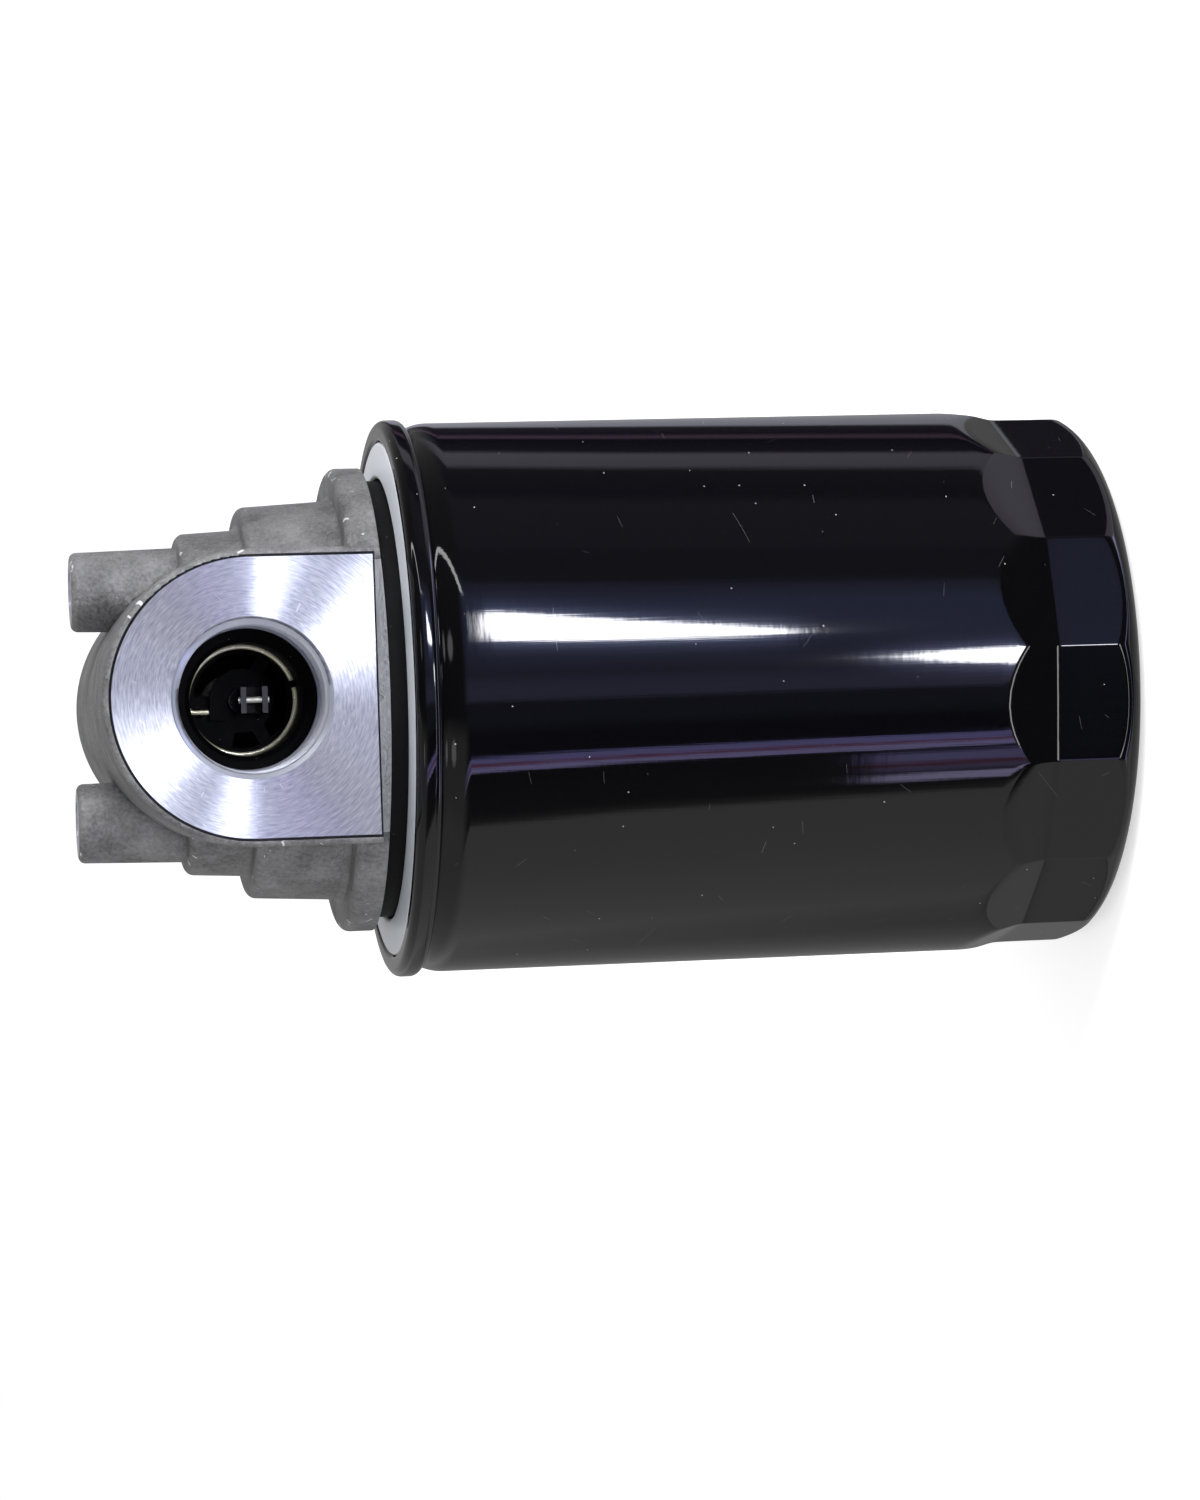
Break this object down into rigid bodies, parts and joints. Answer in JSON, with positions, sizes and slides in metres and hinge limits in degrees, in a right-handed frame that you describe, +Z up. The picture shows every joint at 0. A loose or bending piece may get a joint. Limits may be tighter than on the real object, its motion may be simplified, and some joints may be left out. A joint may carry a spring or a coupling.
{
  "type": "return oil filter",
  "caption": "In-line spin-on return oil filter: cast head with two threaded ports, tapped mounting bosses and a bypass valve, and a screw-on can with wrench flats.",
  "frame": {"origin": "centre of the flat closed end of the can, on which the filter stands", "axes": "+Z up along the can's axis towards the head; the outlet port faces -Y, the inlet port faces +Y, the mounting bosses stand in line along X"},
  "size_m": [0.0974, 0.0972, 0.1789],
  "materials": {
    "cast_aluminium": "blasted die casting with machined pads",
    "black_paint": "high gloss black paint",
    "zinc_sheet": "bright zinc plate",
    "plate_steel": "plain oiled steel",
    "tin_sheet": "tinned sheet",
    "spring_steel": "drawn wire",
    "yellow_wire": "yellow zinc plated wire",
    "black_rubber": "matte nitrile rubber",
    "black_plastic": "moulded black plastic",
    "filter_paper": "resin treated pleated paper"
  },
  "bodies": {
    "can": {"can_shell": "black_paint", "seaming_lid": "zinc_sheet", "base_plate": "plate_steel", "drainback_diaphragm": "black_rubber", "upper_end_cap": "tin_sheet", "lower_end_cap": "tin_sheet", "pleated_media": "filter_paper", "media_seam_clip": "tin_sheet", "centre_tube": "tin_sheet", "support_spring": "spring_steel"},
    "gasket": {"can_gasket": "black_rubber"},
    "head": {"filter_head": "cast_aluminium", "threaded_spud": "plate_steel", "valve_housing": "black_plastic", "valve_guide": "black_plastic", "retaining_wire": "yellow_wire", "housing_o_ring": "black_rubber", "bypass_spring": "spring_steel"},
    "poppet": {"bypass_poppet": "black_plastic", "poppet_seal": "black_rubber", "stem_pin": "spring_steel"}
  },
  "joints": [
    {"name": "can_unscrew", "type": "hinge", "parent": "can", "child": "gasket", "pos_m": [0, 0, 0.12365], "axis": [0, 0, 1], "range_deg": [0, 1440]},
    {"name": "thread_lift", "type": "slide", "parent": "gasket", "child": "head", "axis": [0, 0, 1], "range_m": [0, 0.0085]},
    {"name": "bypass_lift", "type": "slide", "parent": "head", "child": "poppet", "axis": [0, -1, 0], "range_m": [0, 0.004], "stiffness_N_per_m": 2000, "springref_m": -0.01, "deforming": ["bypass_spring"]}
  ],
  "couplings": [
    {"joint": "thread_lift", "follows": "can_unscrew", "m_per_rad": 0.00033688}
  ]
}
